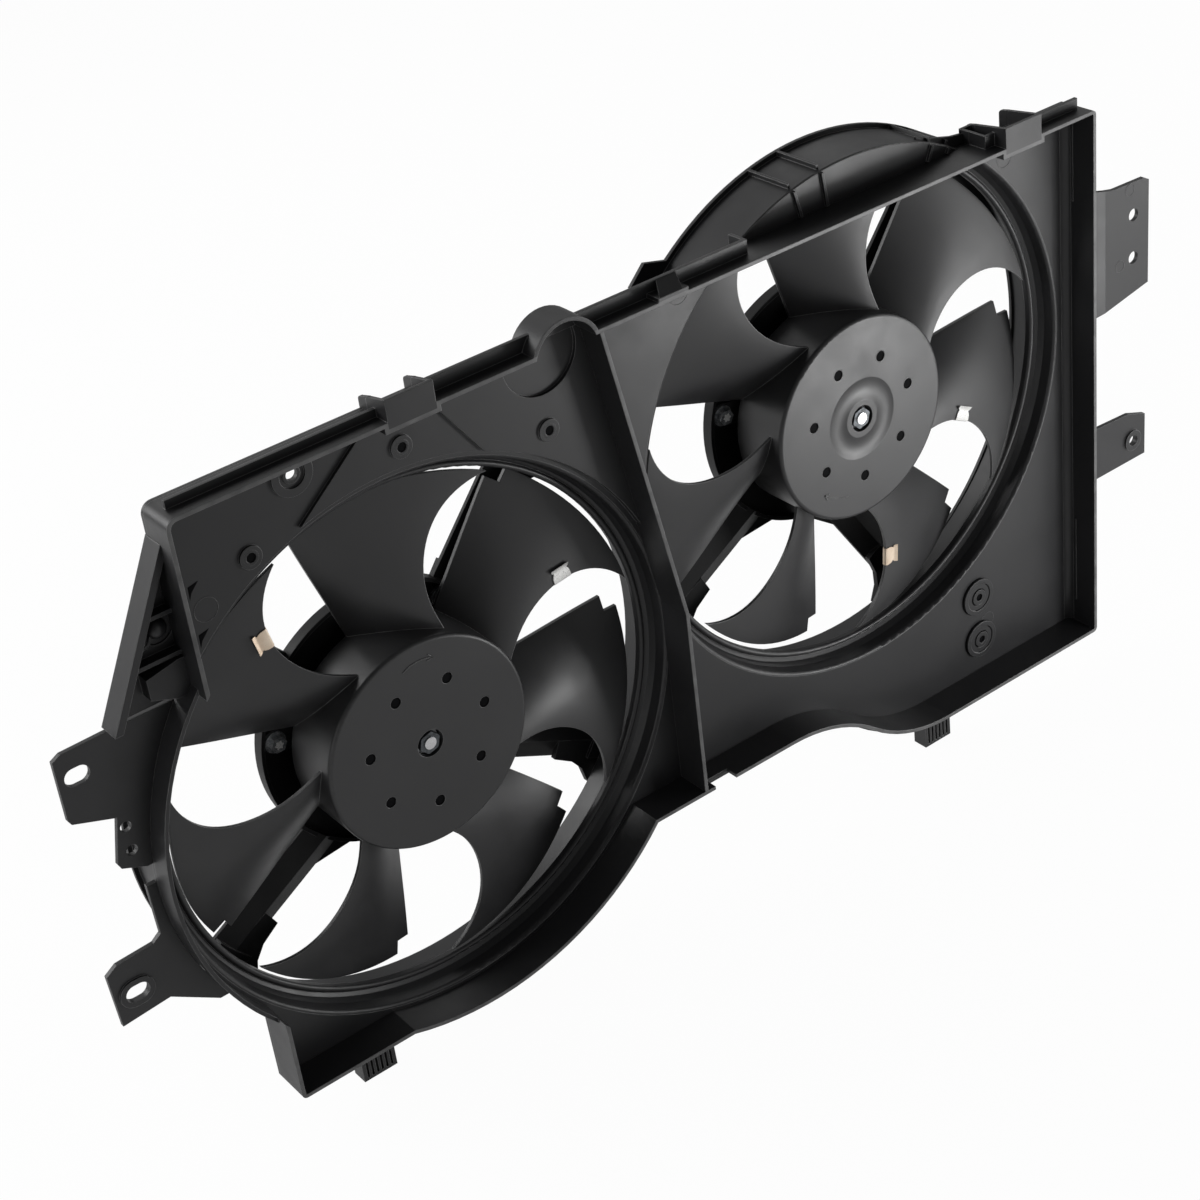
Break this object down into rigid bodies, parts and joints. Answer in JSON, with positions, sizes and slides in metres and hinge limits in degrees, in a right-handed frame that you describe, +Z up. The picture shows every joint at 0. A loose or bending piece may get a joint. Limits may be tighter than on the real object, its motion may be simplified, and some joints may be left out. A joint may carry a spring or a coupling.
{
  "type": "radiator fan shroud",
  "caption": "Moulded radiator fan shroud: shallow tray with bell-mouth rings, motor spiders and side brackets, carrying electric axial cooling fans side by side.",
  "frame": {"origin": "centre of the round locating hole in the lower right bracket, on the bracket's front face", "axes": "+X along the tray to the right seen from the radiator, +Y the air's way from the radiator to the engine, +Z up"},
  "size_m": [0.8508, 0.118, 0.4558],
  "materials": {
    "moulding": "fine moulded grain",
    "fan_plastic": "satin moulded",
    "motor_case": "black coat",
    "socket": "satin",
    "bearing_steel": "ground",
    "ferrite": "sintered",
    "holder_resin": "moulded",
    "carbon": "pressed carbon",
    "zinc_steel": "zinc plated",
    "spring_steel": "bright",
    "plated_clip": "yellow plated",
    "lamination_steel": "stacked sheet",
    "copper": "turned copper"
  },
  "bodies": {
    "shroud": {"tray_floor": "moulding", "tray_walls": "moulding", "tray_divider": "moulding", "ring_hood": "moulding", "left_pocket": "moulding", "left_ring": "moulding", "right_ring": "moulding", "left_spider": "moulding", "right_spider": "moulding", "right_lower_bracket": "moulding", "right_upper_bracket": "moulding", "left_upper_bracket": "moulding", "left_lower_bracket": "moulding", "left_foot": "moulding", "right_foot": "moulding", "left_motor_can": "motor_case", "left_motor_flange": "motor_case", "left_motor_end_bell": "motor_case", "left_connector_socket": "socket", "left_front_bearing": "bearing_steel", "left_rear_bearing": "bearing_steel", "left_magnets": "ferrite", "left_brush_holder": "holder_resin", "left_brushes": "carbon", "left_motor_screws": "zinc_steel", "right_motor_can": "motor_case", "right_motor_flange": "motor_case", "right_motor_end_bell": "motor_case", "right_connector_socket": "socket", "right_front_bearing": "bearing_steel", "right_rear_bearing": "bearing_steel", "right_magnets": "ferrite", "right_brush_holder": "holder_resin", "right_brushes": "carbon", "right_motor_screws": "zinc_steel"},
    "left_rotor": {"left_fan": "fan_plastic", "left_balance_clip_tall": "plated_clip", "left_balance_clip_short": "spring_steel", "left_armature": "lamination_steel", "left_commutator": "copper", "left_shaft": "bearing_steel", "left_hub_washer": "zinc_steel", "left_hub_nut": "zinc_steel"},
    "right_rotor": {"right_fan": "fan_plastic", "right_balance_clip_tall": "spring_steel", "right_balance_clip_short": "spring_steel", "right_armature": "lamination_steel", "right_commutator": "copper", "right_shaft": "bearing_steel", "right_hub_washer": "zinc_steel", "right_hub_nut": "zinc_steel"}
  },
  "joints": [
    {"name": "left_fan_spin", "type": "hinge", "parent": "shroud", "child": "left_rotor", "pos_m": [-0.61053, 0.035, 0.0534], "axis": [0, 1, 0], "continuous": true},
    {"name": "right_fan_spin", "type": "hinge", "parent": "shroud", "child": "right_rotor", "pos_m": [-0.2578, 0.035, 0.1249], "axis": [0, 1, 0], "continuous": true}
  ]
}
